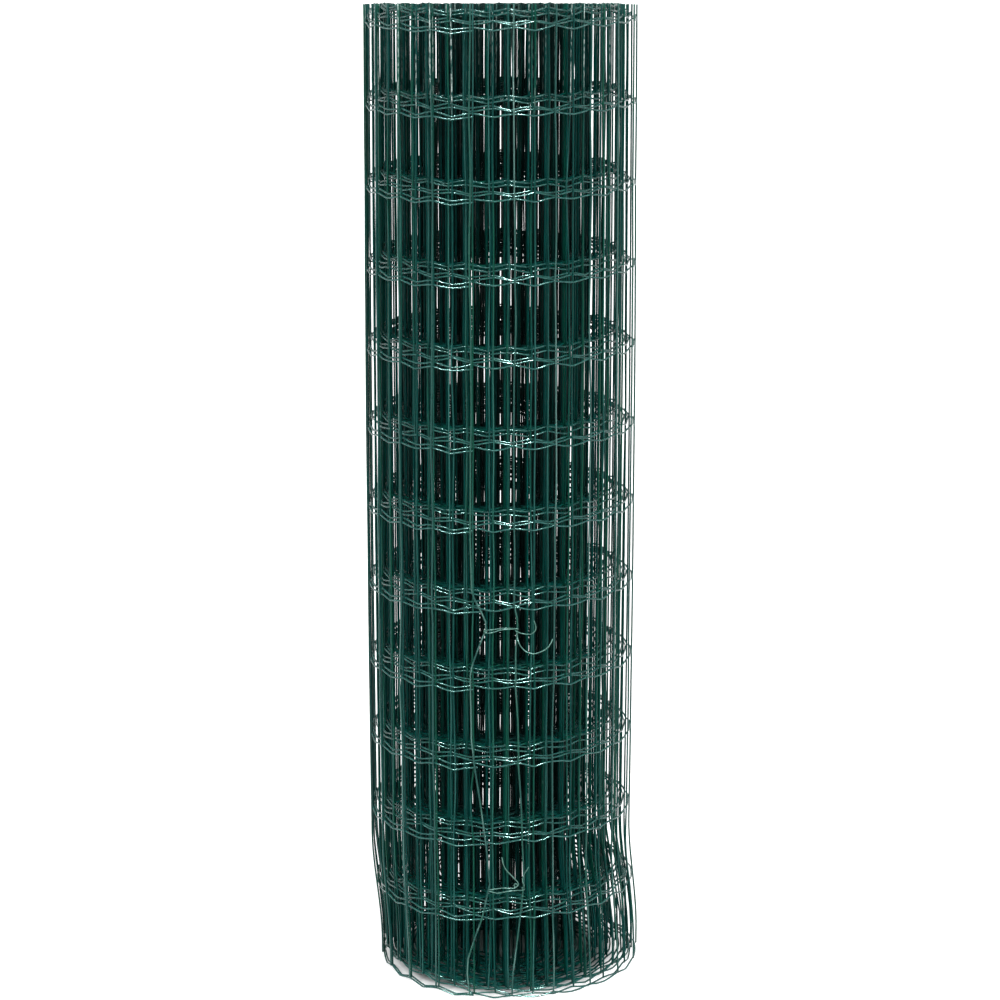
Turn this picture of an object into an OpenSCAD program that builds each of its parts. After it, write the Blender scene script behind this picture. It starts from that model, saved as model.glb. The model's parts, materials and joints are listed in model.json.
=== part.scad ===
// A roll of welded wire fencing that stands on its end, held shut by two tie wires.
// The roll is one piece of mesh wound on itself. Its inner turns are one turned solid with an open bore,
// and the gaps between the turns are cut into both of its ends. The outer turn stands clear of that solid
// as open mesh: level bands where the line wires run, and upright wires welded onto them.

/* [Mesh] */
// Diameter of the coated wire
wire_d = 2.2; // [1.6:0.1:3]
// Distance between neighbouring line wires, which run round the roll
line_spacing = 100; // [60:5:150]
// Number of mesh openings over the height
bays = 12; // [6:1:16]
// Distance between neighbouring uprights, measured along the mesh
upright_spacing = 50; // [25:5:100]
// Height of the wave that is pressed into each line wire
crimp_h = 3.4; // [1:0.2:6]
// Length of an upright past the middle of the last line wire
upright_overhang = 4; // [4:0.5:20]
// Depth to which an upright is melted into a line wire where they are welded
weld_depth = 0.4; // [0.2:0.1:0.8]

/* [Roll] */
// Diameter over the uprights of the outer turn
roll_d = 334; // [250:1:450]
// Diameter of the open bore
bore_d = 80; // [40:1:150]
// Distance from one turn to the next
turn_pitch = 4; // [3.6:0.1:10]
// Depth of the gaps between the turns on the ends of the roll
turn_gap_depth = 8; // [2:0.5:30]

/* [Tie wires] */
// Diameter of the tie wire
tie_d = 1.4; // [0.8:0.1:2]
// Room between a tie wire and the upright that it goes round
tie_clearance = 0.2; // [0.1:0.05:0.4]
// Rise of the upper tie in the middle between its two uprights
upper_tie_bow = 4; // [0:0.5:8]
// Rise of the lower tie in the middle between its two uprights
lower_tie_bow = 2; // [0:0.5:8]
// Radius of the curl in the upper tie's long tail
upper_curl_r = 20; // [10:1:24]
// Radius of the curl in the lower tie's long tail
lower_curl_r = 55; // [30:1:80]
// Whole turns of a tie round its right upright
knot_turns = 1; // [1:1:3]

/* [Hidden] */

wire_r = wire_d / 2;
tie_r = tie_d / 2;
roll_r = roll_d / 2;
bore_r = bore_d / 2;
roll_h = bays * line_spacing + 2 * upright_overhang;

// Radii of the outer turn, from the outside in
upright_r = roll_r - wire_r;
upright_room = max(wire_d - weld_depth, tie_d + 2 * tie_clearance);
core_r = roll_r - wire_d - upright_room;
line_r = roll_r - wire_d + weld_depth;
band_h = crimp_h + wire_d;

// The turns on the ends, spread evenly from the bore to the outer turn
turn_steps = round((core_r - bore_r - wire_d) / turn_pitch);
turn_step = (core_r - bore_r - wire_d) / turn_steps;

// The uprights of the outer turn, with the free end of the mesh facing the front
free_end_gap_min = 6 * wire_d;
full_turn = 360;
degrees_per_length = full_turn / (2 * PI * upright_r);
upright_count = floor((2 * PI * upright_r - free_end_gap_min) / upright_spacing) + 1;
upright_angle = upright_spacing * degrees_per_length;
free_end_angle = full_turn - (upright_count - 1) * upright_angle;
front_angle = -90;

// Places of the ties, as the mesh opening that holds them and the share of its height
upper_tie_bay = 4;
upper_tie_share = 0.74;
lower_tie_bay = 1;
lower_tie_share = 0.40;

// Bends of a tie, in degrees, and the direction that faces away from the roll in a tie's own axes
outward = 90;
hook_wrap = 240;
upper_tail_turns = [-70, 160];
lower_tail_turns = [118, -34];
tail_bend_r = 3 * tie_d;
knot_pitch = tie_d + tie_clearance;
knot_lead = 2 * tie_d;

tie_sides = 8;
wrap_points = 14;
bow_points = 6;
tail_points = 10;
roll_fn = 180;
wire_fn = 24;

mesh_green = [0.05, 0.29, 0.24];
tie_green = [0.42, 0.58, 0.52];

// Height of line wire number k above the floor
function line_z(k) = upright_overhang + k * line_spacing;

// Height of a tie in mesh opening number bay
function tie_z(bay, share) = line_z(bay + share);

// One end of the roll: a flat land for each turn, and a gap before the next one
function end_outline() = [
    for (i = [0 : turn_steps])
        let (r = bore_r + i * turn_step)
        each i < turn_steps
            ? [[r, 0], [r + wire_d, 0], [r + wire_d, turn_gap_depth], [r + turn_step, turn_gap_depth]]
            : [[r, 0], [core_r, 0]]
];

// The wall of the roll: a band stands out of it at each line wire
function wall_outline() = [
    for (k = [0 : bays])
        let (low = line_z(k) - band_h / 2, high = line_z(k) + band_h / 2)
        each [[core_r, low], [line_r, low], [line_r, high], [core_r, high]]
];

// A list of points turned end for end and upside down, for the other end of the roll
function flipped(points) = [
    for (i = [len(points) - 1 : -1 : 0])
        [points[i][0], roll_h - points[i][1]]
];

module wound_turns() {
    rotate_extrude($fn = roll_fn)
        polygon(concat(end_outline(), wall_outline(), flipped(end_outline())));
}

module outer_uprights() {
    first_angle = front_angle + free_end_angle / 2;
    for (i = [0 : upright_count - 1])
        rotate([0, 0, first_angle + i * upright_angle])
            translate([upright_r, 0, 0])
                cylinder(r = wire_r, h = roll_h, $fn = wire_fn);
}

module fencing_roll() {
    color(mesh_green)
        union() {
            wound_turns();
            outer_uprights();
        }
}

function unit(v) = v / norm(v);

// Points of an arc in a plane that leaves p at the angle heading and turns by turn, to the left if positive
function arc_points(p, heading, radius, turn, count) =
    let (side = sign(turn), centre = p + side * radius * [-sin(heading), cos(heading)])
    [
        for (i = [1 : count])
            let (a = heading + turn * i / count)
            centre + side * radius * [sin(a), -cos(a)]
    ];

// Points round an upright at sideways place u that come to its outward side after a turn, while z falls
function wrap_route(u, v, turn, z, fall, count) = [
    for (i = [0 : count])
        let (a = outward + turn * (1 - i / count), reach = wire_r + tie_clearance + tie_r)
        [u + reach * cos(a), v + reach * sin(a), z - fall * i / count]
];

// The tail in the plane in front of the uprights: a tight bend, then a wide curl
function tail_route(p, turns, curl_r) =
    let (
        start = [p[0] + knot_lead, p[2]],
        bend = arc_points(start, 0, tail_bend_r, turns[0], tail_points),
        curl = arc_points(bend[tail_points - 1], turns[0], curl_r, turns[1], tail_points)
    )
    [for (q = concat([start], bend, curl)) [q[0], p[1], q[1]]];

// The middle line of a tie: a hook round the left upright, a bowed run across the free end's gap,
// whole turns round the right upright and a curled tail. Its axes are right, outward and up.
function tie_route(z, bow, turns, curl_r) =
    let (
        half_gap = upright_r * sin(free_end_angle / 2),
        v = upright_r * cos(free_end_angle / 2),
        front = v + wire_r + tie_clearance + tie_r,
        hook = wrap_route(-half_gap, v, hook_wrap, z, 0, wrap_points),
        run = [
            for (i = [1 : bow_points - 1])
                let (s = 2 * i / bow_points - 1)
                [half_gap * s, front, z + bow * (1 - s * s)]
        ],
        knot_points = knot_turns * wrap_points,
        knot = wrap_route(half_gap, v, knot_turns * full_turn, z, knot_turns * knot_pitch, knot_points),
        tail = tail_route(knot[knot_points], turns, curl_r)
    )
    concat(hook, run, knot, tail);

// Directions along a route, and the sideways direction that each ring of the tube starts from
function tangents(route) = [
    for (i = [0 : len(route) - 1])
        unit(route[min(i + 1, len(route) - 1)] - route[max(i - 1, 0)])
];

function normals(along, i = 0, last = [0, 0, 1]) =
    i == len(along) ? [] :
    let (n = unit(last - (last * along[i]) * along[i]))
    concat([n], normals(along, i + 1, n));

// A round tube along a route
module tube(route, radius, sides) {
    along = tangents(route);
    across = normals(along);
    rings = len(route);
    points = [
        for (i = [0 : rings - 1], s = [0 : sides - 1])
            let (a = 360 * s / sides, other = cross(along[i], across[i]))
            route[i] + radius * (cos(a) * across[i] + sin(a) * other)
    ];
    walls = [
        for (i = [0 : rings - 2], s = [0 : sides - 1])
            let (low = i * sides, high = low + sides, next = (s + 1) % sides)
            each [[low + s, high + s, high + next], [low + s, high + next, low + next]]
    ];
    start_cap = [for (s = [0 : sides - 1]) s];
    end_cap = [for (s = [sides - 1 : -1 : 0]) (rings - 1) * sides + s];
    polyhedron(points, concat([start_cap], walls, [end_cap]));
}

module tie_wire(z, bow, turns, curl_r) {
    route = tie_route(z, bow, turns, curl_r);
    color(tie_green)
        tube([for (p = route) [p[0], -p[1], p[2]]], tie_r, tie_sides);
}

module upper_tie_wire() {
    tie_wire(tie_z(upper_tie_bay, upper_tie_share), upper_tie_bow, upper_tail_turns, upper_curl_r);
}

module lower_tie_wire() {
    tie_wire(tie_z(lower_tie_bay, lower_tie_share), lower_tie_bow, lower_tail_turns, lower_curl_r);
}

fencing_roll();
upper_tie_wire();
lower_tie_wire();
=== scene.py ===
# Looks of a roll of welded wire fencing: the wound mesh, wire by wire, and the two ties that hold it shut.
# All lengths are in metres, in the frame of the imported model: +Z up along the bore, and the front faces -Y.

import json
import math

import bpy
import numpy as np
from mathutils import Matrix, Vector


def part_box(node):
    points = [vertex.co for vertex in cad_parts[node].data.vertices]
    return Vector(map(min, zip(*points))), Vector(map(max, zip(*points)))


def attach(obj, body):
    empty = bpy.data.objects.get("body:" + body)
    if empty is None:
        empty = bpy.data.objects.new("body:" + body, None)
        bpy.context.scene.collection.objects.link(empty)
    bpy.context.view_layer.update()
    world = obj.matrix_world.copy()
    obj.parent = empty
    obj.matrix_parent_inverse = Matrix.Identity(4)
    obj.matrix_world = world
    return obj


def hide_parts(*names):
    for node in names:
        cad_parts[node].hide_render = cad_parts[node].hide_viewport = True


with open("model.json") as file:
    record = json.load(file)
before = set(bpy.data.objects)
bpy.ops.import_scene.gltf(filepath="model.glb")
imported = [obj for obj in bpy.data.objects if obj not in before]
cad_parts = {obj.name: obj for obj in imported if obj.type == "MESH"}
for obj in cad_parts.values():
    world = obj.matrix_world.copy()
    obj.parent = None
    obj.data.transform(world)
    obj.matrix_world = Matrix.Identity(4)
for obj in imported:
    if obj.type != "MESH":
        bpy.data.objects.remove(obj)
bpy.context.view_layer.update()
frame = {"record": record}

MM = 0.001
BODY = "root"
SEED = 2863
random = np.random.default_rng(SEED)

# Sizes of the mesh. The crimp in the line wires draws the uprights a little closer than their nominal 50 mm.
# The crimps differ in height by about a share of it, and the uprights end a little above the lowest one.
WIRE_D = 2.2 * MM
BAYS = 12
LINE_SPACING = 100 * MM
UPRIGHT_SPACING = 49.3 * MM
WELD_DEPTH = 0.4 * MM
CRIMP_H = 4.6 * MM
CRIMP_SPREAD = 0.3
FLOOR_GAP = 4.8 * MM
LOWER_SHORT = 2.6 * MM
ROLL_H = BAYS * LINE_SPACING

# The upper ends of the uprights lie near one plane, which is higher at the front than at the back.
# From a share of the height upwards, the turns that have slid up are held below it.
TIP_Z = 1226 * MM
TIP_FALL = 0.084
TIP_SPREAD = 0.7 * MM
TIP_LEAST = 1.3 * MM
FLUSH_FROM = 0.85

# Sizes of the roll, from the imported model
roll_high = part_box("fencing_roll")[1]
mounts = {mount["name"]: mount for mount in frame["record"]["mounts"]}
BORE_R = mounts["core_bore"]["dims"]["r_mm"] * MM
OUTER_SLACK = 1 * MM
OUTER_R = roll_high.y - WIRE_D + OUTER_SLACK
INNER_R = BORE_R + WIRE_D

# The winding, counted in turns from the free end, which lies left of the middle of the front.
# The loose outer turns lie inside the outermost one by these millimetres, on the roll and at the floor.
# The ripple keeps the turns from being quite round, and the outer ones bulge between the roll's ends.
FREE_END_ANGLE = math.radians(-102)
TURN_PITCH = 3.873 * MM
RIPPLE = 1.353 * MM
LOOSE_STEPS = [0, 0.75, 1, 1.75, 2.2, 4.228]
INSET_UPPER = [0, 0.8, 3.6, 6, 8.163, 15.859]
INSET_FLOOR = [0, 0.8, 3.6, 6, 9.163, 17.859]
RIPPLE_RATES = [0.23, 0.61, 1.31, 2.63]
BULGE = 2.4 * MM

# The tight turns stand a little to the left of the loose ones, by a distance that changes down the roll.
# At the foot each turn leans to the right and the front, and spreads further at its right,
# by these millimetres
CORE_FROM = 1
CORE_TO = 11.654
CORE_X_TOP = -9.016 * MM
CORE_X_FLOOR = -10.657 * MM
CORE_BEND = 1.5
FOOT_H = 0.17
FOOT_LOW = 0.02
FOOT_STEPS = [0, 1.75, 2.2, 5.2, 8, 31]
FOOT_X = [12, 12, 9, 5, 3, 2]
FOOT_Y = [-3, -3, -4, -6, -8, 0]
FOOT_RIGHT = [0, 0, 6, 20, 19, 4]

# How far each turn has slid up past the outermost one, in millimetres, on the roll and at the floor.
# At the floor, the left of a turn has slid by the whole distance, the front by a share of it, and the right
# by another share more than the front.
SLIDE_STEPS = [0, 5, 31]
SLIDE = [2, 24, 7]
SLIDE_WAVE = 2.4 * MM
SLIDE_RATES = [0.41, 0.73, 1.19]
FOOT_SLIDE_STEPS = [0, 1.85, 2.15, 6, 31]
FOOT_SLIDE = [0, 0.5, 13, 14, 8]
FOOT_SLIDE_FRONT = 0.2
FOOT_SLIDE_RIGHT = 0.4
FOOT_SIDE_SHARP = 4


def wave(position, size, rates):
    """A smooth seeded wave along the winding, made of a few rates that don't repeat from turn to turn."""
    phases = random.uniform(0, 2 * math.pi, len(rates))
    parts = [np.sin(2 * math.pi * rate * position + phase) for rate, phase in zip(rates, phases)]
    return size * sum(parts) / len(parts)


# The winding as a table of fine steps: turns, radius and length from the free end
FINE_STEP = 0.002
LEAD_TURNS = 0.05
turn_total = LOOSE_STEPS[-1] + (OUTER_R - INSET_UPPER[-1] * MM - INNER_R) / TURN_PITCH
turns_fine = np.arange(-LEAD_TURNS, turn_total, FINE_STEP)


def inset(turns, loose):
    """How far a turn lies inside the outermost one: loose turns by their list, the rest evenly to the bore."""
    steps = LOOSE_STEPS + [turn_total]
    depths = [depth * MM for depth in loose] + [OUTER_R - INNER_R]
    return np.interp(turns, steps, depths)


ripple_fine = wave(turns_fine, RIPPLE, RIPPLE_RATES)
radius_fine = OUTER_R - inset(turns_fine, INSET_UPPER) + ripple_fine
length_fine = np.cumsum(2 * math.pi * radius_fine * FINE_STEP)
length_fine -= np.interp(0, turns_fine, length_fine)
slide_fine = np.interp(turns_fine, SLIDE_STEPS, SLIDE) * MM + wave(turns_fine, SLIDE_WAVE, SLIDE_RATES)
CELLS = int(length_fine[-1] / UPRIGHT_SPACING)

# Places of the ties, and how they pull the free end's upright and the one that it is tied to.
# A pull is a distance along the mesh, the height at which it is greatest, and its reach above and below that.
UPPER_TIE_Z = 485 * MM
LOWER_TIE_Z = 149 * MM
FOOT_BEND_Z = 30 * MM
TIED_UPRIGHT = 20
PULL_REACH = 20 * MM
FREE_END_PULLS = [
    (-19 * MM, UPPER_TIE_Z, 40 * MM, 60 * MM),
    (-24 * MM, LOWER_TIE_Z, 190 * MM, 100 * MM),
    (4.5 * MM, FOOT_BEND_Z, 80 * MM, 40 * MM),
]
TIED_PULLS = [
    (-4 * MM, UPPER_TIE_Z, 25 * MM, 40 * MM),
    (-13 * MM, LOWER_TIE_Z, 250 * MM, 120 * MM),
]


def tent(height, peak, above, below):
    """1 at a height, and falling evenly to 0 above and below it."""
    return np.clip(np.where(height > peak, 1 - (height - peak) / above, 1 - (peak - height) / below), 0, 1)


def drawn(height, pulls):
    """The sum of some pulls at a height."""
    return sum(distance * tent(height, *reach) for distance, *reach in pulls)


def pulled(along, height):
    """The length along the mesh after the ties have drawn the free end and the tied upright together."""
    tied_place = TIED_UPRIGHT * UPRIGHT_SPACING
    near_free = np.exp(-np.clip(along, 0, None) / PULL_REACH)
    near_tied = np.exp(-((along - tied_place) / PULL_REACH) ** 2)
    return along + drawn(height, FREE_END_PULLS) * near_free + drawn(height, TIED_PULLS) * near_tied


def bulge(height):
    """How far the outermost turn stands out between its two ends."""
    return BULGE * np.sin(math.pi * np.clip(height / ROLL_H, 0, 1))


def sheet(along, height, proud):
    """Points of the wound mesh, by length along it and height on it, moved outwards by proud."""
    along = pulled(along, height)
    turns = np.interp(along, length_fine, turns_fine)
    angle = FREE_END_ANGLE - 2 * math.pi * turns
    foot = np.clip((FOOT_H - height) / (FOOT_H - FOOT_LOW), 0, 1)
    foot = foot ** 2 * (3 - 2 * foot)
    depth = (1 - foot) * inset(turns, INSET_UPPER) + foot * inset(turns, INSET_FLOOR)
    radius = OUTER_R - depth + np.interp(turns, turns_fine, ripple_fine) + proud
    radius = radius + bulge(height) * np.interp(turns, [CORE_FROM, CORE_TO], [1, 0])
    core = np.interp(turns, [CORE_FROM, CORE_TO, turn_total], [0, 1, 0])
    below_top = np.clip(1 - height / ROLL_H, 0, 1) ** CORE_BEND
    core_x = core * (CORE_X_TOP + (CORE_X_FLOOR - CORE_X_TOP) * below_top)
    foot_x = np.interp(turns, FOOT_STEPS, FOOT_X) * MM
    foot_y = np.interp(turns, FOOT_STEPS, FOOT_Y) * MM
    foot_right = np.interp(turns, FOOT_STEPS, FOOT_RIGHT) * MM
    right = np.clip(np.cos(angle), 0, None) ** 2
    radius = radius + foot * (foot_x * np.cos(angle) + foot_y * np.sin(angle) + foot_right * right)
    x = radius * np.cos(angle) + core_x
    y = radius * np.sin(angle)
    slide = np.interp(turns, turns_fine, slide_fine)
    flush = np.minimum(slide, TIP_Z - TIP_LEAST - TIP_FALL * y - FLOOR_GAP - ROLL_H)
    near_top = np.clip((height / ROLL_H - FLUSH_FROM) / (1 - FLUSH_FROM), 0, 1)
    slide = slide + (flush - slide) * near_top
    left = 0.5 + 0.5 * np.tanh(FOOT_SIDE_SHARP * np.sin(FREE_END_ANGLE - angle))
    foot_slide = np.interp(turns, FOOT_SLIDE_STEPS, FOOT_SLIDE) * MM
    foot_slide = foot_slide * (FOOT_SLIDE_FRONT + (1 - FOOT_SLIDE_FRONT) * left + FOOT_SLIDE_RIGHT * right)
    lifted = np.clip(height / LINE_SPACING, 0, 1)
    z = FLOOR_GAP + height + foot_slide * (1 - lifted) + slide * lifted
    return np.stack(np.broadcast_arrays(x, y, z), axis=-1)


def unit(vectors):
    return vectors / np.linalg.norm(vectors, axis=-1, keepdims=True)


# The blunted end of a wire, as shares of its diameter
END_TAPER = 0.6
END_LENGTH = 0.35


def tubes(name, paths, wire_d, sides, guide):
    """One mesh of round wires along paths, an array of wires by points by three, with blunted ends."""
    along = unit(np.gradient(paths, axis=1))
    start = paths[:, :1] - along[:, :1] * END_LENGTH * wire_d
    end = paths[:, -1:] + along[:, -1:] * END_LENGTH * wire_d
    paths = np.concatenate([start, paths, end], axis=1)
    along = np.concatenate([along[:, :1], along, along[:, -1:]], axis=1)
    guide = np.broadcast_to(np.asarray(guide, float), along.shape)
    across = unit(guide - (guide * along).sum(-1, keepdims=True) * along)
    other = np.cross(along, across)
    wires, points = paths.shape[:2]
    turn = np.arange(sides) * 2 * math.pi / sides
    taper = np.ones(points)
    taper[[0, -1]] = END_TAPER
    ring = across[:, :, None] * np.cos(turn)[:, None] + other[:, :, None] * np.sin(turn)[:, None]
    vertices = paths[:, :, None] + ring * (taper * wire_d / 2)[:, None, None]
    number = np.arange(wires * points * sides).reshape(wires, points, sides)
    low, high = number[:, :-1], number[:, 1:]
    walls = np.stack([low, np.roll(low, -1, 2), np.roll(high, -1, 2), high], axis=-1).reshape(-1, 4)
    caps = np.concatenate([number[:, 0, ::-1], number[:, -1]])
    corners = np.concatenate([walls.ravel(), caps.ravel()])
    totals = np.concatenate([np.full(len(walls), 4), np.full(len(caps), sides)])
    starts = np.concatenate([[0], np.cumsum(totals)[:-1]])
    mesh = bpy.data.meshes.new(name)
    mesh.vertices.add(vertices.size // 3)
    mesh.vertices.foreach_set("co", vertices.astype(np.float32).ravel())
    mesh.loops.add(len(corners))
    mesh.loops.foreach_set("vertex_index", corners.astype(np.int32))
    mesh.polygons.add(len(totals))
    mesh.polygons.foreach_set("loop_start", starts.astype(np.int32))
    mesh.polygons.foreach_set("loop_total", totals.astype(np.int32))
    mesh.polygons.foreach_set("use_smooth", np.ones(len(totals), bool))
    mesh.update(calc_edges=True)
    mesh.validate()
    piece = bpy.data.objects.new(name, mesh)
    bpy.context.scene.collection.objects.link(piece)
    return piece


# The uprights lie outside the line wires. A crimp's kinks are cut off at a share of its height.
UPRIGHT_PROUD = (WIRE_D - WELD_DEPTH) / 2
LINE_PROUD = -UPRIGHT_PROUD
LINE_END = 2 * MM
KINK_SHARP = 0.9


def line_wires(name, first_cell, last_cell, levels, steps, sides):
    """The crimped level wires over a run of cells: high at each upright and low between two."""
    cells = last_cell - first_cell
    share = np.arange(cells * steps + 1) / steps
    along = (first_cell + share) * UPRIGHT_SPACING
    if first_cell == 0:
        along[0] -= LINE_END
    zigzag = 1 - 4 * np.abs(share % 1 - np.round(share % 1))
    zigzag = np.clip(zigzag, -KINK_SHARP, KINK_SHARP)
    kink = np.round(share * 2).astype(int)
    size = 1 + CRIMP_SPREAD * random.standard_normal((len(levels), cells * 2 + 1))
    height = np.array(levels)[:, None] * LINE_SPACING + zigzag * size[:, kink] * CRIMP_H / 2
    paths = sheet(np.broadcast_to(along, height.shape), height, LINE_PROUD)
    return tubes(name, paths, WIRE_D, sides, (0, 0, 1))


# Some uprights are bent more than the rest at a weld, some are bowed between two welds,
# and all are less even at the foot
BENT_SHARE = 0.08
BENT_GAIN = 2.6
BOW_SHARE = 0.6
BOWED_MUCH = 0.03
BOW_GAIN = 7
FOOT_GAIN = 1.3


def upright_paths(first_cell, last_cell, steps, spread):
    """Middle lines of the uprights of a run of cells, from weld to weld, each a little out of line."""
    count = last_cell - first_cell
    weld = np.linspace(0, BAYS, BAYS * steps + 1)
    weld = np.concatenate([weld, weld[-1:]])
    below = np.minimum(weld.astype(int), BAYS - 1)
    share = weld - below
    offset = spread * random.standard_normal((count, BAYS + 1))
    offset = offset * np.where(random.random(offset.shape) < BENT_SHARE, BENT_GAIN, 1)
    offset[:, 0] *= FOOT_GAIN
    bow = BOW_SHARE * spread * random.standard_normal((count, BAYS))
    bow = bow * np.where(random.random(bow.shape) < BOWED_MUCH, BOW_GAIN, 1)
    offset = offset[:, below] * (1 - share) + offset[:, below + 1] * share
    offset = offset + bow[:, below] * np.sin(math.pi * share)
    along = np.arange(first_cell, last_cell)[:, None] * UPRIGHT_SPACING + offset
    height = np.broadcast_to(weld * LINE_SPACING, along.shape).copy()
    height[:, 0] += LOWER_SHORT
    top = sheet(along[:, -1], height[:, -1], UPRIGHT_PROUD)
    tip = TIP_Z - TIP_FALL * top[:, 1] - top[:, 2] - TIP_SPREAD * random.random(count)
    height[:, -1] += np.maximum(tip, TIP_LEAST)
    return sheet(along, height, UPRIGHT_PROUD)


def uprights(name, first_cell, last_cell, steps, sides, spread):
    return tubes(name, upright_paths(first_cell, last_cell, steps, spread), WIRE_D, sides, (1, 0, 0))


# Materials


def node_material(name):
    material = bpy.data.materials.new(name)
    material.use_nodes = True
    nodes = material.node_tree.nodes
    return material, nodes, material.node_tree.links, nodes["Principled BSDF"]


def value_node(nodes, links, operation, *inputs):
    """A Math node whose inputs are numbers or other nodes' outputs."""
    node = nodes.new("ShaderNodeMath")
    node.operation = operation
    for socket, value in zip(node.inputs, inputs):
        if isinstance(value, (int, float)):
            socket.default_value = value
        else:
            links.new(value, socket)
    return node.outputs["Value"]


def scaled(nodes, links, place, scale):
    """A place multiplied by a scale along each axis."""
    node = nodes.new("ShaderNodeVectorMath")
    node.operation = "MULTIPLY"
    node.inputs[1].default_value = scale
    links.new(place.outputs["Object"], node.inputs[0])
    return node.outputs["Vector"]


def distance_from_axis(nodes, links, place):
    """The distance of a point from the roll's axis, from its place in the shared frame."""
    length = nodes.new("ShaderNodeVectorMath")
    length.operation = "LENGTH"
    links.new(scaled(nodes, links, place, (1, 1, 0)), length.inputs[0])
    return length.outputs["Value"]


def facing_out(nodes, links, place):
    """How squarely a point of a wire faces away from the roll's axis: 1 on its outer side, 0 at its flanks."""
    outward = nodes.new("ShaderNodeVectorMath")
    outward.operation = "NORMALIZE"
    links.new(scaled(nodes, links, place, (1, 1, 0)), outward.inputs[0])
    product = nodes.new("ShaderNodeVectorMath")
    product.operation = "DOT_PRODUCT"
    links.new(outward.outputs["Vector"], product.inputs[0])
    links.new(place.outputs["Normal"], product.inputs[1])
    return product.outputs["Value"]


def height_of(nodes, links, place):
    split = nodes.new("ShaderNodeSeparateXYZ")
    links.new(place.outputs["Object"], split.inputs["Vector"])
    return split.outputs["Z"]


def noise(nodes, links, place, scale, stretch, detail):
    """Noise of a fineness, in waves per metre, stretched along the height by a factor."""
    texture = nodes.new("ShaderNodeTexNoise")
    texture.inputs["Scale"].default_value = scale
    texture.inputs["Detail"].default_value = detail
    links.new(scaled(nodes, links, place, (1, 1, 1 / stretch)), texture.inputs["Vector"])
    return texture.outputs["Fac"]


def ramped(nodes, links, value, low, high, to_low=0, to_high=1):
    """A value carried smoothly from one range to another."""
    node = nodes.new("ShaderNodeMapRange")
    node.interpolation_type = "SMOOTHSTEP"
    node.inputs["From Min"].default_value = low
    node.inputs["From Max"].default_value = high
    node.inputs["To Min"].default_value = to_low
    node.inputs["To Max"].default_value = to_high
    links.new(value, node.inputs["Value"])
    return node.outputs["Result"]


def mixed(nodes, links, share, first, second):
    """A colour between two others, each a colour or another node's output."""
    node = nodes.new("ShaderNodeMix")
    node.data_type = "RGBA"
    links.new(share, node.inputs["Factor"])
    for name, colour in (("A", first), ("B", second)):
        socket = next(s for s in node.inputs if s.name == name and s.type == "RGBA")
        if isinstance(colour, tuple):
            socket.default_value = (*colour, 1)
        else:
            links.new(colour, socket)
    return next(s for s in node.outputs if s.type == "RGBA")


# Each noise is its waves per metre, its stretch along the height and its detail,
# with the range that is taken from it
GLOSS_TINT = (0.6, 1, 0.94)
# Painted highlight: the range of facing away from the axis over which some wires are paler
HIGHLIGHT_SIDE = (0.55, 0.95)
LEAF_NOISE, LEAF_RANGE = (150, 150, 0), (0.5, 0.7, 0, 0.6)
STREAK_NOISE, STREAK_RANGE = (240, 110, 0), (0.4, 0.7)
SCUFF = (0.07, 0.155, 0.138)
SCUFF_NOISE, SCUFF_RANGE = (420, 3, 2), (0.64, 0.8, 0, 0.5)
# Painted highlights: pale dashes on some wires in the uppermost opening, between these heights
TOP_GLINT = (0.55, 0.64, 0.61)
TOP_GLINT_WIRE_NOISE, TOP_GLINT_WIRE_RANGE = (210, 60, 0), (0.52, 0.62)
DASH_NOISE, DASH_RANGE = (800, 6, 1), (0.46, 0.56)
TOP_GLINT_Z = (1.1, 1.135)
# Heights below which the painted shade deep in the roll is lifted
PAINTED_SHADE_LIFT_Z = (0.012, 0.035)
ROUGH_NOISE, ROUGH_RANGE = (60, 1, 2), (0.3, 0.7)
BUMP_NOISE = (400, 1, 2)
BUMP_STRENGTH = 0.06
BUMP_DEPTH = 0.15 * MM


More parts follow.
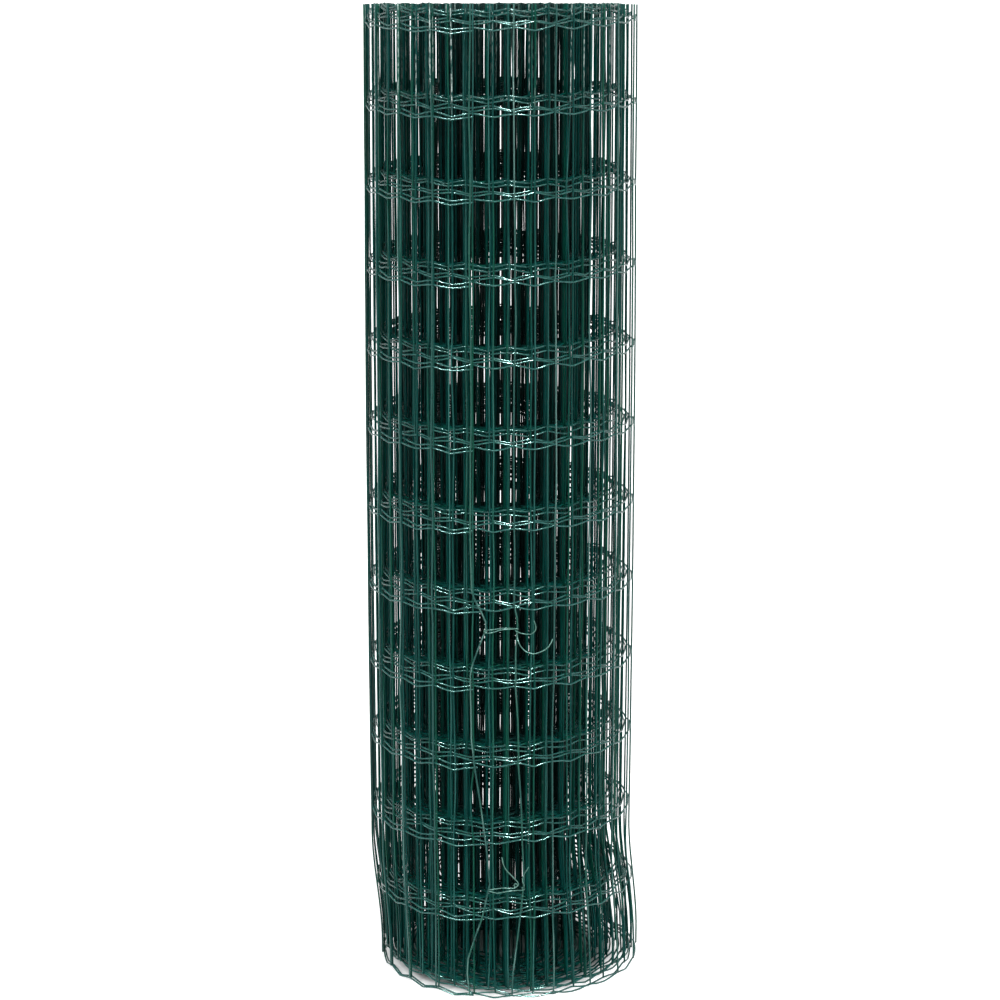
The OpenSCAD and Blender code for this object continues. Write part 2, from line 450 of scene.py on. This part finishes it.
def coated_wire_material(name, painted_shade, dark, pale, leaf, painted_shade_r, roughness, specular, top_glint_strength):
    """Plastic coating on wire, with painted shade: darker deep in the roll, with the painted shade lifted near
    the floor. From wire to wire it has painted highlights, paler along its outer side, or it is more leaf
    green; it is scuffed and uneven. In the uppermost opening some wires have painted highlights as pale dashes."""
    material, nodes, links, shader = node_material(name)
    place = nodes.new("ShaderNodeTexCoord")
    shader.inputs["Specular IOR Level"].default_value = specular
    shader.inputs["Specular Tint"].default_value = (*GLOSS_TINT, 1)
    # Painted highlight: wires picked by the streak noise are paler on the side that faces away from the axis
    highlight_side = ramped(nodes, links, facing_out(nodes, links, place), *HIGHLIGHT_SIDE)
    tint = ramped(nodes, links, noise(nodes, links, place, *LEAF_NOISE), *LEAF_RANGE)
    plain = mixed(nodes, links, tint, dark, leaf)
    streak = ramped(nodes, links, noise(nodes, links, place, *STREAK_NOISE), *STREAK_RANGE)
    painted_highlight_share = value_node(nodes, links, "MULTIPLY", streak, highlight_side)
    outer = mixed(nodes, links, painted_highlight_share, plain, pale)
    # Painted shade: the colour darkens towards the roll's axis, and is lifted near the floor
    out_of_painted_shade = ramped(nodes, links, distance_from_axis(nodes, links, place), *painted_shade_r)
    low = ramped(nodes, links, height_of(nodes, links, place), *PAINTED_SHADE_LIFT_Z, 1, 0)
    out_of_painted_shade = value_node(nodes, links, "MAXIMUM", out_of_painted_shade, low)
    colour = mixed(nodes, links, out_of_painted_shade, painted_shade, outer)
    worn = ramped(nodes, links, noise(nodes, links, place, *SCUFF_NOISE), *SCUFF_RANGE)
    colour = mixed(nodes, links, worn, colour, SCUFF)
    # Painted highlights in the uppermost opening, on the outer side of wires that are out of the painted shade
    glinting_wire = ramped(nodes, links, noise(nodes, links, place, *TOP_GLINT_WIRE_NOISE), *TOP_GLINT_WIRE_RANGE)
    dashes = ramped(nodes, links, noise(nodes, links, place, *DASH_NOISE), *DASH_RANGE, 0, top_glint_strength)
    high = ramped(nodes, links, height_of(nodes, links, place), *TOP_GLINT_Z)
    top_glint_share = value_node(nodes, links, "MULTIPLY", glinting_wire, dashes)
    for share in (high, out_of_painted_shade, highlight_side):
        top_glint_share = value_node(nodes, links, "MULTIPLY", top_glint_share, share)
    links.new(mixed(nodes, links, top_glint_share, colour, TOP_GLINT), shader.inputs["Base Color"])
    uneven = noise(nodes, links, place, *ROUGH_NOISE)
    links.new(ramped(nodes, links, uneven, *ROUGH_RANGE, *roughness), shader.inputs["Roughness"])
    bump = nodes.new("ShaderNodeBump")
    bump.inputs["Strength"].default_value = BUMP_STRENGTH
    bump.inputs["Distance"].default_value = BUMP_DEPTH
    links.new(noise(nodes, links, place, *BUMP_NOISE), bump.inputs["Height"])
    links.new(bump.outputs["Normal"], shader.inputs["Normal"])
    return material


# The first turn: a lighter copy of the coating, painted as if better lit, with stronger painted highlights
lit_first_green = coated_wire_material(
    "first_turn_lit_green",
    painted_shade=(0.006, 0.05, 0.042),
    dark=(0.012, 0.062, 0.053),
    pale=(0.085, 0.172, 0.155),
    leaf=(0.01, 0.085, 0.052),
    painted_shade_r=(0.115, 0.155),
    roughness=(0.25, 0.4),
    specular=0.25,
    top_glint_strength=0.9,
)
upright_green = coated_wire_material(
    "upright_green",
    painted_shade=(0.0015, 0.028, 0.024),
    dark=(0.002, 0.044, 0.038),
    pale=(0.025, 0.11, 0.097),
    leaf=(0.003, 0.07, 0.035),
    painted_shade_r=(0.115, 0.155),
    roughness=(0.3, 0.45),
    specular=0.1,
    top_glint_strength=0.8,
)
line_green = coated_wire_material(
    "line_green",
    painted_shade=(0.001, 0.03, 0.026),
    dark=(0.006, 0.06, 0.053),
    pale=(0.03, 0.115, 0.103),
    leaf=(0.006, 0.075, 0.05),
    painted_shade_r=(0.115, 0.165),
    roughness=(0.12, 0.18),
    specular=0.5,
    top_glint_strength=0.2,
)
# The inner turns: a darker copy of the coating, painted as shaded, with deeper painted shade towards the axis
inner_shaded_green = coated_wire_material(
    "inner_shaded_green",
    painted_shade=(0.0002, 0.012, 0.011),
    dark=(0.0006, 0.043, 0.038),
    pale=(0.004, 0.08, 0.07),
    leaf=(0.001, 0.065, 0.036),
    painted_shade_r=(0.08, 0.135),
    roughness=(0.3, 0.45),
    specular=0.04,
    top_glint_strength=0.6,
)
tie_green = coated_wire_material(
    "tie_green",
    painted_shade=(0.035, 0.1, 0.082),
    dark=(0.035, 0.1, 0.082),
    pale=(0.12, 0.25, 0.21),
    leaf=(0.045, 0.13, 0.09),
    painted_shade_r=(0.1, 0.15),
    roughness=(0.25, 0.4),
    specular=0.5,
    top_glint_strength=0,
)


def finish_piece(piece, material, node):
    piece.data.materials.append(material)
    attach(piece, BODY)
    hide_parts(node)


# The mesh: the outer turns are finer than the inner ones, which show less.
# A line wire has its steps from upright to upright and its sides. An upright has its steps from weld to weld,
# its sides and how far it is out of line.
FIRST_TURN_CELLS = 21
OUTER_CELLS = 112
OUTER_LINE = (8, 8)
INNER_LINE = (4, 6)
FIRST_UPRIGHT = (10, 8, 1.0 * MM)
LOOSE_UPRIGHT = (4, 8, 0.8 * MM)
INNER_UPRIGHT = (2, 6, 0.35 * MM)
LOWER_LEVELS = list(range(BAYS // 2))
UPPER_LEVELS = list(range(BAYS // 2, BAYS + 1))
mesh_pieces = [
    (line_wires("outer_line_wires_lower", 0, OUTER_CELLS, LOWER_LEVELS, *OUTER_LINE), line_green),
    (line_wires("outer_line_wires_upper", 0, OUTER_CELLS, UPPER_LEVELS, *OUTER_LINE), line_green),
    (line_wires("inner_line_wires_lower", OUTER_CELLS, CELLS, LOWER_LEVELS, *INNER_LINE), inner_shaded_green),
    (line_wires("inner_line_wires_upper", OUTER_CELLS, CELLS, UPPER_LEVELS, *INNER_LINE), inner_shaded_green),
    (uprights("first_turn_uprights", 0, FIRST_TURN_CELLS, *FIRST_UPRIGHT), lit_first_green),
    (uprights("loose_turn_uprights", FIRST_TURN_CELLS, OUTER_CELLS, *LOOSE_UPRIGHT), upright_green),
    (uprights("inner_uprights", OUTER_CELLS, CELLS + 1, *INNER_UPRIGHT), inner_shaded_green),
]
for piece, material in mesh_pieces:
    finish_piece(piece, material, "fencing_roll")

# The tie wires. Each is one wire that goes round the free end's upright and the tied one, with two tails.
# Places on a tie are in millimetres: right of the roll's axis, up from the tie's height, and off the roll.
TIE_D = 1.4 * MM
TIE_STEPS = 8
TIE_SIDES = 10
TIE_GUIDE = (0.3, 0.2, 0.93)
WRAP_ANGLE = 45
WRAP_R = (WIRE_D + TIE_D) / 2
TIE_FRONT_R = OUTER_R + UPRIGHT_PROUD + WIRE_D / 2 + TIE_D / 2
SEAT_TRIES = 4


def smooth(points, steps):
    """A smooth line through points, a few steps between each two of them."""
    points = np.asarray(points)
    padded = np.concatenate([2 * points[:1] - points[1:2], points, 2 * points[-1:] - points[-2:-1]])
    before, start, end, after = padded[:-3], padded[1:-2], padded[2:-1], padded[3:]
    share = np.arange(steps)[:, None, None] / steps
    line = start + share * (end - before) / 2
    line = line + share ** 2 * (2 * before - 5 * start + 4 * end - after) / 2
    line = line + share ** 3 * (3 * start - before - 3 * end + after) / 2
    return np.concatenate([line.transpose(1, 0, 2).reshape(-1, 3), points[-1:]])


def in_front(tie_z, places):
    """Points of a tie in front of the roll."""
    points = []
    for right, up, off in places:
        reach = TIE_FRONT_R + bulge(tie_z) + off * MM
        across = right * MM
        points.append((across, -math.sqrt(reach ** 2 - across ** 2), tie_z + up * MM))
    return points


def around(cell, z, start, end, rise):
    """Points of a tie round an upright, from one angle to another: 0 degrees is its right and -90 its front."""
    height = z - FLOOR_GAP
    for _ in range(SEAT_TRIES):
        centre = sheet(np.array(cell * UPRIGHT_SPACING), np.array(height), UPRIGHT_PROUD)
        height += z - centre[2]
    count = round(abs(end - start) / WRAP_ANGLE)
    points = []
    for step in range(count + 1):
        share = step / count
        turn = math.radians(start + (end - start) * share)
        points.append((
            centre[0] + WRAP_R * math.cos(turn),
            centre[1] + WRAP_R * math.sin(turn),
            z + rise * share,
        ))
    return points


def tie(name, node, route):
    piece = tubes(name, smooth(route, TIE_STEPS)[None], TIE_D, TIE_SIDES, TIE_GUIDE)
    finish_piece(piece, tie_green, node)


# The upper tie: a long curled tail, half round the tied upright, across to the free end's upright,
# nearly three turns round that, back across, once round the tied upright again, and a short curled tail
UPPER_LONG_TAIL = [
    (64, -11, 9),
    (61, -17, 10),
    (56, -22, 10),
    (48, -26, 9),
    (40.5, -27.5, 8),
    (32, -25, 6),
    (26, -19.5, 4),
    (22, -12, 1.5),
]
UPPER_ACROSS = [(9, 3.6, -1), (0, 3.2, -0.5), (-7, 2.2, -0.3)]
UPPER_BACK = [(-8, -1.5, -0.5), (0, 1.4, 0), (8, 2.2, -0.5)]
UPPER_SHORT_TAIL = [
    (25, -2.6, 0.5),
    (31, -3.6, 2),
    (37, -3.6, 4),
    (42, 0, 6),
    (43.6, 4.6, 7),
    (43, 9, 7),
    (41.4, 13.3, 6),
]
tie("upper_tie", "upper_tie_wire", (
    in_front(UPPER_TIE_Z, UPPER_LONG_TAIL)
    + around(TIED_UPRIGHT, UPPER_TIE_Z - 5 * MM, start=-60, end=150, rise=6 * MM)
    + in_front(UPPER_TIE_Z, UPPER_ACROSS)
    + around(0, UPPER_TIE_Z + 1.2 * MM, start=-60, end=-1060, rise=-4.5 * MM)
    + in_front(UPPER_TIE_Z, UPPER_BACK)
    + around(TIED_UPRIGHT, UPPER_TIE_Z + 2 * MM, start=-120, end=275, rise=-3.5 * MM)
    + in_front(UPPER_TIE_Z, UPPER_SHORT_TAIL)
))

# The lower tie: a long tail that ends in a small loop, across to the free end's upright,
# nearly twice round that, back across, once round the tied upright, and a short tail that stands up
LOWER_LONG_TAIL = [
    (2.5, 46, 8),
    (4, 38, 8),
    (7, 30.5, 7),
    (13, 22.6, 5),
    (18, 16.5, 4),
    (22, 11, 2),
    (22.5, 6.5, 1),
    (19.5, 4.5, 1),
    (17.5, 7, 2),
    (19.5, 9.5, 2.5),
    (21.5, 6.5, 1.5),
]
LOWER_ACROSS = [(19, 2.8, 0), (12, 2.4, 0), (5, 3, 0), (-2, 2.2, 0)]
LOWER_BACK = [(-3, -3.8, 0), (4, -2.4, 0), (12, -1.2, 0), (19, -1.2, -1)]
LOWER_SHORT_TAIL = [(30, 6, 1), (28, 12, 2), (29, 19, 3), (32, 25, 4), (35.5, 31, 5)]
tie("lower_tie", "lower_tie_wire", (
    in_front(LOWER_TIE_Z, LOWER_LONG_TAIL + LOWER_ACROSS)
    + around(0, LOWER_TIE_Z + 1 * MM, start=-60, end=-690, rise=-4 * MM)
    + in_front(LOWER_TIE_Z, LOWER_BACK)
    + around(TIED_UPRIGHT, LOWER_TIE_Z - 2 * MM, start=-120, end=275, rise=3 * MM)
    + in_front(LOWER_TIE_Z, LOWER_SHORT_TAIL)
))

# Stage, light and camera


def seen(nodes, links):
    """1 for rays that show a surface directly, in gloss or through glass, and 0 for rays of light on others."""
    path = nodes.new("ShaderNodeLightPath")
    direct = value_node(nodes, links, "MAXIMUM", path.outputs["Is Camera Ray"], path.outputs["Is Glossy Ray"])
    return value_node(nodes, links, "MAXIMUM", direct, path.outputs["Is Transmission Ray"])


# The floor's colour away from the roll, a darker painted shadow under it, and the distances from the axis over
# which it changes
FLOOR_PALE = (0.62, 0.62, 0.62)
FLOOR_PAINTED_SHADOW = (0.1, 0.16, 0.15)
FLOOR_ROUGHNESS = 0.9
PAINTED_SHADOW_R = (0.1, 0.16)
WHITE_R = (0.125, 0.16)
WHITE_STRENGTH = 0.8


def floor_material():
    """A pale floor that shows as white away from the roll and keeps the roll's own shadow near it. Under the
    roll it has a darker painted shadow.
    """
    material, nodes, links, shader = node_material("pale_floor")
    shader.inputs["Roughness"].default_value = FLOOR_ROUGHNESS
    shader.inputs["Emission Color"].default_value = (1, 1, 1, 1)
    place = nodes.new("ShaderNodeTexCoord")
    under = distance_from_axis(nodes, links, place)
    # Painted shadow: the floor's colour is darker and greener under the roll
    out_of_painted_shadow = ramped(nodes, links, under, *PAINTED_SHADOW_R)
    links.new(mixed(nodes, links, out_of_painted_shadow, FLOOR_PAINTED_SHADOW, FLOOR_PALE), shader.inputs["Base Color"])
    away = ramped(nodes, links, under, *WHITE_R, 0, WHITE_STRENGTH)
    glow = value_node(nodes, links, "MULTIPLY", away, seen(nodes, links))
    links.new(glow, shader.inputs["Emission Strength"])
    return material


FLOOR_HALF = 60
floor_mesh = bpy.data.meshes.new("floor")
corners = [(-1, -1), (1, -1), (1, 1), (-1, 1)]
floor_mesh.from_pydata([(x * FLOOR_HALF, y * FLOOR_HALF, 0) for x, y in corners], [], [(0, 1, 2, 3)])
floor = bpy.data.objects.new("floor", floor_mesh)
floor.data.materials.append(floor_material())
bpy.context.scene.collection.objects.link(floor)

AMBIENT = 0.2
world = bpy.data.worlds.new("studio")
world.use_nodes = True
bpy.context.scene.world = world
sky_nodes, sky_links = world.node_tree.nodes, world.node_tree.links
background = sky_nodes["Background"]
background.inputs["Color"].default_value = (1, 1, 1, 1)
sky = ramped(sky_nodes, sky_links, seen(sky_nodes, sky_links), 0, 1, AMBIENT, 1)
sky_links.new(sky, background.inputs["Strength"])


def sun(name, azimuth, elevation, width, strength, gloss_only=False):
    """A far soft light. Azimuth 0 is the front and 90 the right; width is its size in degrees."""
    light = bpy.data.lights.new(name, "SUN")
    light.angle = math.radians(width)
    light.energy = strength
    lamp = bpy.data.objects.new(name, light)
    lamp.rotation_euler = (math.pi / 2 - math.radians(elevation), 0, math.radians(azimuth))
    lamp.visible_diffuse = not gloss_only
    bpy.context.scene.collection.objects.link(lamp)


sun("key", azimuth=21, elevation=40, width=10, strength=2.1)
sun("fill", azimuth=-48, elevation=40, width=8, strength=1.3)
sun("top", azimuth=5, elevation=78, width=4, strength=1.4)
sun("key_glint", azimuth=21, elevation=40, width=8, strength=10, gloss_only=True)
sun("fill_glint", azimuth=-48, elevation=40, width=6, strength=3, gloss_only=True)

CAMERA_PLACE = (0, -3.635, 1.512)
CAMERA_PITCH = math.radians(13.98)
FOCAL_PIXELS = 2968.7
IMAGE_PIXELS = 1000
SENSOR_WIDTH = 36
lens = bpy.data.cameras.new("camera")
lens.sensor_width = SENSOR_WIDTH
lens.lens = FOCAL_PIXELS / IMAGE_PIXELS * SENSOR_WIDTH
camera = bpy.data.objects.new("camera", lens)
camera.location = CAMERA_PLACE
camera.rotation_euler = (math.pi / 2 - CAMERA_PITCH, 0, 0)
bpy.context.scene.collection.objects.link(camera)
bpy.context.scene.camera = camera

bpy.context.scene.view_settings.view_transform = "Standard"
